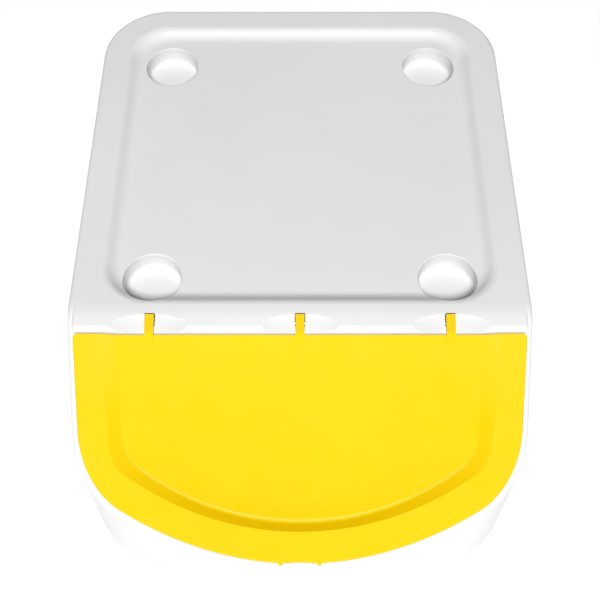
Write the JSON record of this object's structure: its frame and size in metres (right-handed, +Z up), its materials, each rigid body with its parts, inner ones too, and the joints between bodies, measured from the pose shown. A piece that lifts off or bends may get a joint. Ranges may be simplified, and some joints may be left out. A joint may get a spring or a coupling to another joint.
{
  "type": "stackable flap-lid waste bin",
  "caption": "Stackable household waste bin with a sloped, hinged front flap, foot sockets in a recessed top, and a removable hood over a tapered tub.",
  "frame": {"origin": "on the floor, under the middle of the bin's bounding box", "axes": "+Z up, the flap and mouth face -Y, +X is the viewer's right when facing the flap"},
  "size_m": [0.3062, 0.4132, 0.38],
  "materials": {
    "white_shell": "satin white polypropylene",
    "grey_plastic": "satin grey polypropylene",
    "yellow_lid": "satin yellow polypropylene",
    "seal_rubber": "closed-cell foam strip",
    "pin_steel": "drawn wire",
    "pad_rubber": "matt moulded rubber"
  },
  "bodies": {
    "shell": {"hood": "white_shell", "tub": "white_shell", "bag_ring": "grey_plastic", "hinge_pin_left": "pin_steel", "hinge_pin_centre": "pin_steel", "hinge_pin_right": "pin_steel", "foot_pad_front_left": "pad_rubber", "foot_pad_front_right": "pad_rubber", "foot_pad_rear_left": "pad_rubber", "foot_pad_rear_right": "pad_rubber"},
    "lid": {"front_lid": "yellow_lid", "lid_seal": "seal_rubber"}
  },
  "joints": [
    {"name": "lid_hinge", "type": "hinge", "parent": "shell", "child": "lid", "pos_m": [0, -0.0785, 0.3715], "axis": [-1, 0, 0], "range_deg": [0, 85]}
  ]
}
